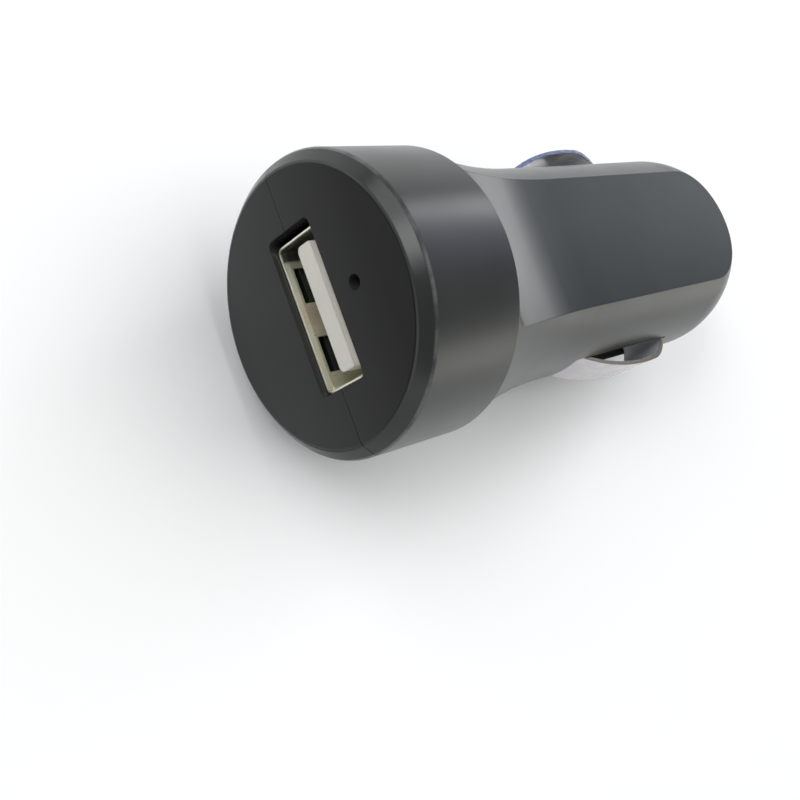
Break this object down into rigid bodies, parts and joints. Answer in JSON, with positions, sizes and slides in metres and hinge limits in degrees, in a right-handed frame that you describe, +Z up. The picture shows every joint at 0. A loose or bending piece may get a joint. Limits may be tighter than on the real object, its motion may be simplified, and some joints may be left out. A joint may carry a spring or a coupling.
{
  "type": "car usb charger plug",
  "caption": "Plug for a vehicle's round power socket, with a USB-A outlet in its round head, a sprung centre pin and sprung side contacts.",
  "frame": {"origin": "middle of the bounding box in plan, on the surface that the plug lies on", "axes": "+X from the face with the USB socket towards the centre pin, +Z up out of the upper flat; the plug's own axis dips 6.32 degrees below +X, because it rests on the rim of its head and on the end of its lower flat"},
  "size_m": [0.0634, 0.026, 0.0269],
  "materials": {
    "housing": "fine satin texture, charcoal black",
    "pin": "bright nickel plate",
    "spring_steel": "drawn wire",
    "brass": "plated",
    "contact_strip": "bright nickel plate",
    "socket_shell": "nickel plate, warm",
    "socket_plastic": "off-white moulding",
    "board": "black solder resist",
    "lamp": "clear",
    "tin": "tinned",
    "can": "dark blue sleeve",
    "ferrite": "dull",
    "winding": "lacquered copper",
    "chip": "moulded, dull",
    "ceramic": "fired, dull"
  },
  "bodies": {
    "shell": {"housing_upper": "housing", "housing_lower": "housing", "pin_spring": "spring_steel", "pin_terminal": "brass", "usb_shell": "socket_shell", "usb_insulator": "socket_plastic", "usb_contact_1": "brass", "usb_contact_2": "brass", "usb_contact_3": "brass", "usb_contact_4": "brass", "circuit_board": "board", "led_lens": "lamp", "led_leads": "tin", "input_capacitor": "can", "output_capacitor": "can", "inductor_core": "ferrite", "inductor_winding": "winding", "converter_chip": "chip", "chip_leads": "tin", "catch_diode": "chip", "resistor_1": "chip", "resistor_2": "chip", "resistor_3": "chip", "ceramic_capacitor_1": "ceramic", "ceramic_capacitor_2": "ceramic"},
    "pin": {"centre_pin": "pin"},
    "contact_left": {"side_contact_left": "contact_strip"},
    "contact_right": {"side_contact_right": "contact_strip"}
  },
  "joints": [
    {"name": "pin_push", "type": "slide", "parent": "shell", "child": "pin", "axis": [-0.9939, 0, 0.1101], "range_m": [0, 0.0025], "stiffness_N_per_m": 1200, "springref_m": -0.001, "deforming": ["pin_spring"]},
    {"name": "left_press", "type": "slide", "parent": "shell", "child": "contact_left", "axis": [0, -1, 0], "range_m": [0, 0.0016], "stiffness_N_per_m": 2500, "springref_m": -0.0004},
    {"name": "right_press", "type": "slide", "parent": "shell", "child": "contact_right", "axis": [0, 1, 0], "range_m": [0, 0.0016], "stiffness_N_per_m": 2500, "springref_m": -0.0004}
  ]
}
